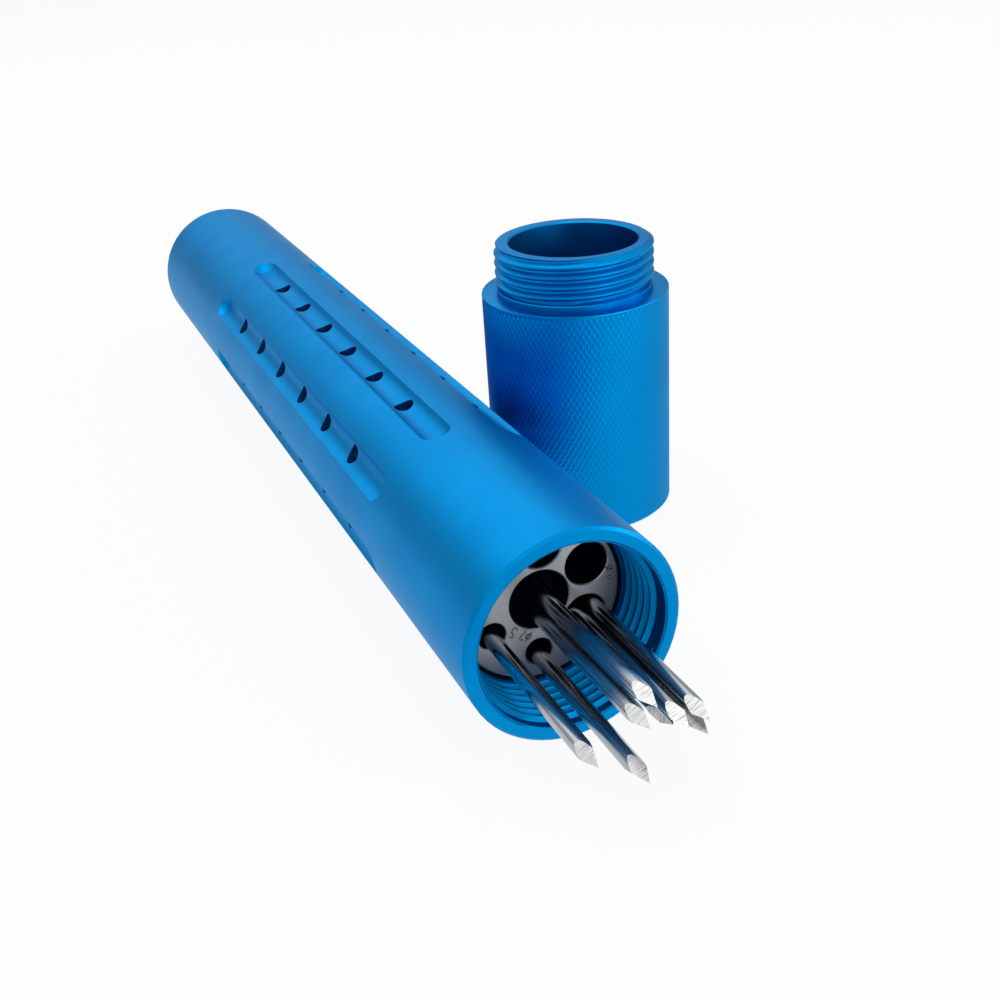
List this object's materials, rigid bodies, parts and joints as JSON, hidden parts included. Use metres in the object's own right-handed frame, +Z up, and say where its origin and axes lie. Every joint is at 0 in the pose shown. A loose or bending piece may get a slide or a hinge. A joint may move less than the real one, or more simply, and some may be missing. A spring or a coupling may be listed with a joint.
{
  "type": "sterilization container",
  "caption": "Cylindrical sterilization container: a fluted, vented blue anodised tube, its knurled screw cap standing beside it, and a slide-out drilled rack of trocar-pointed wires.",
  "frame": {"origin": "middle of the floor under the whole set: the lying canister with its wires, and the cap standing beside it", "axes": "+Y along the canister from its mouth to its closed end, +Z up from the floor, +X from the canister towards the cap"},
  "size_m": [0.078, 0.2614, 0.0575],
  "materials": {
    "tube_blue": "bead-blasted, blue anodised",
    "cap_blue": "diamond-knurled, blue anodised",
    "plate_steel": "ground satin stainless",
    "rod_steel": "turned stainless",
    "screw_steel": "turned stainless",
    "wire_steel": "polished stainless, ground points"
  },
  "bodies": {
    "canister": {"tube_body": "tube_blue", "end_plug": "tube_blue"},
    "cap": {"cap_shell": "cap_blue"},
    "rack": {"front_guide_plate": "plate_steel", "middle_guide_plate": "plate_steel", "rear_stop_plate": "plate_steel", "front_standoff_1": "rod_steel", "front_standoff_2": "rod_steel", "front_standoff_3": "rod_steel", "rear_standoff_1": "rod_steel", "rear_standoff_2": "rod_steel", "rear_standoff_3": "rod_steel", "stop_plate_screws": "screw_steel"},
    "wire_1": {"wire_1": "wire_steel"},
    "wire_2": {"wire_2": "wire_steel"},
    "wire_3": {"wire_3": "wire_steel"},
    "wire_4": {"wire_4": "wire_steel"},
    "wire_5": {"wire_5": "wire_steel"},
    "wire_6": {"wire_6": "wire_steel"},
    "wire_7": {"wire_7": "wire_steel"},
    "wire_8": {"wire_8": "wire_steel"}
  },
  "joints": [
    {"name": "cap_lift", "type": "slide", "parent": "canister", "child": "cap", "axis": [0, 0, 1], "range_m": [0, 0.1]},
    {"name": "rack_slide", "type": "slide", "parent": "canister", "child": "rack", "axis": [0, -1, 0], "range_m": [0, 0.245]},
    {"name": "wire_1_slide", "type": "slide", "parent": "rack", "child": "wire_1", "axis": [0.0018, -1, 0.0025], "range_m": [-0.0068, 0.225]},
    {"name": "wire_2_slide", "type": "slide", "parent": "rack", "child": "wire_2", "axis": [0.0021, -1, -0.0083], "range_m": [-0.0064, 0.225]},
    {"name": "wire_3_slide", "type": "slide", "parent": "rack", "child": "wire_3", "axis": [0.0314, -0.9995, 0.0065], "range_m": [-0.0056, 0.225]},
    {"name": "wire_4_slide", "type": "slide", "parent": "rack", "child": "wire_4", "axis": [0.0157, -0.9999, 0.0066], "range_m": [-0.006, 0.225]},
    {"name": "wire_5_slide", "type": "slide", "parent": "rack", "child": "wire_5", "axis": [-0.0047, -1, 0.0021], "range_m": [0, 0.225]},
    {"name": "wire_6_slide", "type": "slide", "parent": "rack", "child": "wire_6", "axis": [0.0019, -1, 0.0042], "range_m": [-0.0052, 0.225]},
    {"name": "wire_7_slide", "type": "slide", "parent": "rack", "child": "wire_7", "axis": [-0.0026, -1, -0.0056], "range_m": [-0.0048, 0.225]},
    {"name": "wire_8_slide", "type": "slide", "parent": "rack", "child": "wire_8", "axis": [0.0057, -1, -0.0027], "range_m": [-0.0056, 0.225]}
  ]
}
